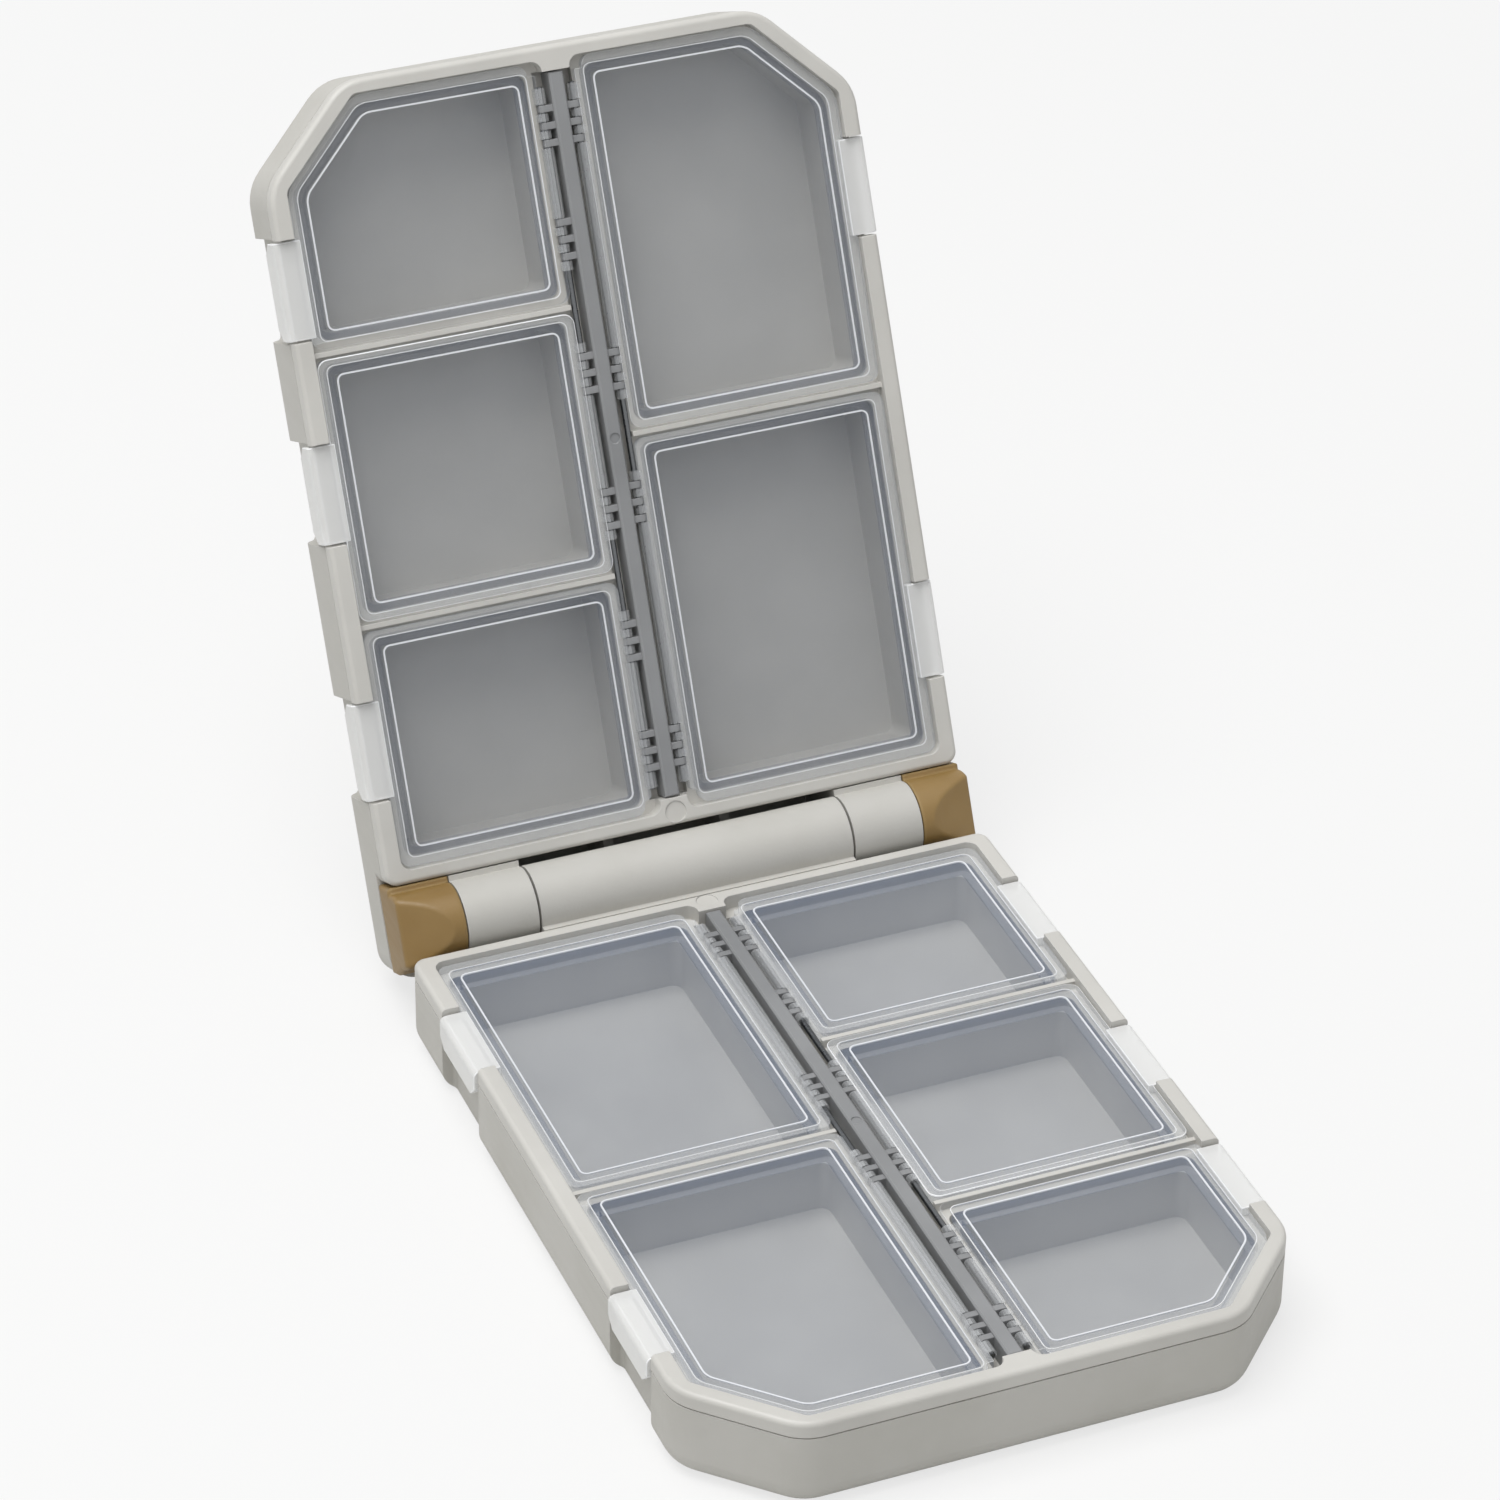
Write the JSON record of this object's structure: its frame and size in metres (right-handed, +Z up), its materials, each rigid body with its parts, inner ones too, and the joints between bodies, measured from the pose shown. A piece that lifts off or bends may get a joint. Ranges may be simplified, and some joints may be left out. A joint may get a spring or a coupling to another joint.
{
  "type": "fishing rig box",
  "caption": "Pocket fishing rig box in two hinged halves, each with a compartment tray under small clear lids with latch tabs, standing open on one half.",
  "frame": {"origin": "centre of the lower half's flat underside", "axes": "+Z up, +Y from the lower half's outer end towards the main hinge, +X towards the lower half's small lids"},
  "size_m": [0.0732, 0.1506, 0.0997],
  "materials": {
    "shell": "fine matte grain",
    "tray": "satin",
    "bar": "satin",
    "cap": "satin",
    "lid": "clear, with frosted tabs",
    "steel": "drawn wire"
  },
  "bodies": {
    "lower_half": {"lower_shell": "shell", "lower_tray": "tray", "lower_spine_bar": "bar", "lower_small_lid_pin": "steel", "lower_large_lid_pin": "steel"},
    "upper_half": {"upper_shell": "shell", "upper_tray": "tray", "upper_spine_bar": "bar", "upper_small_lid_pin": "steel", "upper_large_lid_pin": "steel", "hinge_axle": "steel", "left_hinge_cap": "cap", "right_hinge_cap": "cap"},
    "lower_small_lid_inner": {"lower_small_lid_inner": "lid"},
    "lower_small_lid_middle": {"lower_small_lid_middle": "lid"},
    "lower_small_lid_outer": {"lower_small_lid_outer": "lid"},
    "lower_large_lid_inner": {"lower_large_lid_inner": "lid"},
    "lower_large_lid_outer": {"lower_large_lid_outer": "lid"},
    "upper_small_lid_inner": {"upper_small_lid_inner": "lid"},
    "upper_small_lid_middle": {"upper_small_lid_middle": "lid"},
    "upper_small_lid_outer": {"upper_small_lid_outer": "lid"},
    "upper_large_lid_inner": {"upper_large_lid_inner": "lid"},
    "upper_large_lid_outer": {"upper_large_lid_outer": "lid"}
  },
  "joints": [
    {"name": "main_hinge", "type": "hinge", "parent": "lower_half", "child": "upper_half", "pos_m": [0, 0.052, 0.012], "axis": [-1, 0, 0], "range_deg": [-116, 44]},
    {"name": "lower_small_lid_inner_hinge", "type": "hinge", "parent": "lower_half", "child": "lower_small_lid_inner", "pos_m": [0.002, 0.0308, 0.01065], "axis": [0, -1, 0], "range_deg": [0, 90]},
    {"name": "lower_small_lid_middle_hinge", "type": "hinge", "parent": "lower_half", "child": "lower_small_lid_middle", "pos_m": [0.002, 0.0004, 0.01065], "axis": [0, -1, 0], "range_deg": [0, 90]},
    {"name": "lower_small_lid_outer_hinge", "type": "hinge", "parent": "lower_half", "child": "lower_small_lid_outer", "pos_m": [0.002, -0.03, 0.01065], "axis": [0, -1, 0], "range_deg": [0, 90]},
    {"name": "lower_large_lid_inner_hinge", "type": "hinge", "parent": "lower_half", "child": "lower_large_lid_inner", "pos_m": [-0.002, 0.0228, 0.01065], "axis": [0, 1, 0], "range_deg": [0, 90]},
    {"name": "lower_large_lid_outer_hinge", "type": "hinge", "parent": "lower_half", "child": "lower_large_lid_outer", "pos_m": [-0.002, -0.02205, 0.01065], "axis": [0, 1, 0], "range_deg": [0, 90]},
    {"name": "upper_small_lid_inner_hinge", "type": "hinge", "parent": "upper_half", "child": "upper_small_lid_inner", "pos_m": [-0.002, 0.06251, 0.03046], "axis": [0, 0.4384, 0.8988], "range_deg": [0, 90]},
    {"name": "upper_small_lid_middle_hinge", "type": "hinge", "parent": "upper_half", "child": "upper_small_lid_middle", "pos_m": [-0.002, 0.07583, 0.05779], "axis": [0, 0.4384, 0.8988], "range_deg": [0, 90]},
    {"name": "upper_small_lid_outer_hinge", "type": "hinge", "parent": "upper_half", "child": "upper_small_lid_outer", "pos_m": [-0.002, 0.08916, 0.08511], "axis": [0, 0.4384, 0.8988], "range_deg": [0, 90]},
    {"name": "upper_large_lid_inner_hinge", "type": "hinge", "parent": "upper_half", "child": "upper_large_lid_inner", "pos_m": [0.002, 0.06601, 0.03765], "axis": [0, -0.4384, -0.8988], "range_deg": [0, 90]},
    {"name": "upper_large_lid_outer_hinge", "type": "hinge", "parent": "upper_half", "child": "upper_large_lid_outer", "pos_m": [0.002, 0.08568, 0.07796], "axis": [0, -0.4384, -0.8988], "range_deg": [0, 90]}
  ]
}
